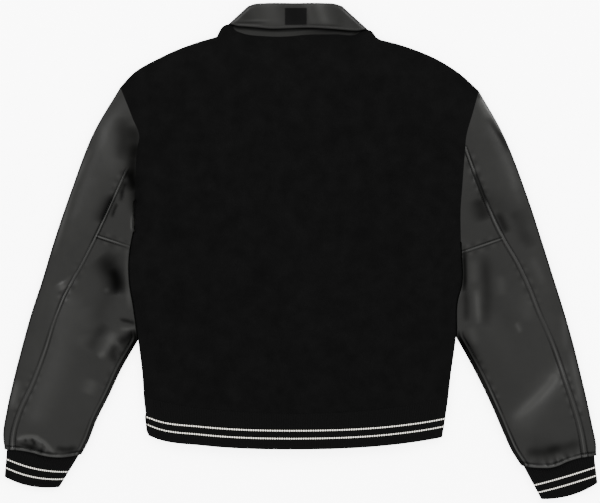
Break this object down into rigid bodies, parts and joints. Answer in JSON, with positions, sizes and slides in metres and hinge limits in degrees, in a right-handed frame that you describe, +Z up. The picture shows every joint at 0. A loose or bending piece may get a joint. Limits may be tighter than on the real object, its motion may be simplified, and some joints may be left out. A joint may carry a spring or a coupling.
{
  "type": "varsity jacket",
  "caption": "Varsity jacket laid flat with its back up: wool body, leather sleeves and collar, rib-knit cuffs and hem.",
  "frame": {"origin": "middle of the laid-out jacket on the surface it lies on", "axes": "+X across the jacket towards the cuff at the right, seen from above with the collar up; +Y towards the collar; +Z up, away from the surface, out of the jacket's back"},
  "size_m": [0.968, 0.8075, 0.0178],
  "materials": {
    "melton_wool": "felted black wool, matt with a faint nap",
    "sleeve_leather": "soft dark grey lambskin, semi-gloss, topstitched",
    "patch_leather": "plain black leather, matt",
    "rib_knit": "black rib knit with two off-white stripes",
    "snap_enamel": "black enamel, glossy"
  },
  "bodies": {
    "root": {"back": "melton_wool", "front_left": "melton_wool", "front_right": "melton_wool", "sleeve_upper_left": "sleeve_leather", "sleeve_upper_right": "sleeve_leather", "sleeve_under_top_left": "sleeve_leather", "sleeve_under_top_right": "sleeve_leather", "sleeve_under_low_left": "sleeve_leather", "sleeve_under_low_right": "sleeve_leather", "collar_stand": "sleeve_leather", "collar_leaf": "sleeve_leather", "collar_patch": "patch_leather", "cuff_left": "rib_knit", "cuff_right": "rib_knit", "hem_rib": "rib_knit", "snap_1": "snap_enamel", "snap_2": "snap_enamel", "snap_3": "snap_enamel", "snap_4": "snap_enamel", "snap_5": "snap_enamel", "snap_6": "snap_enamel"}
  },
  "joints": []
}
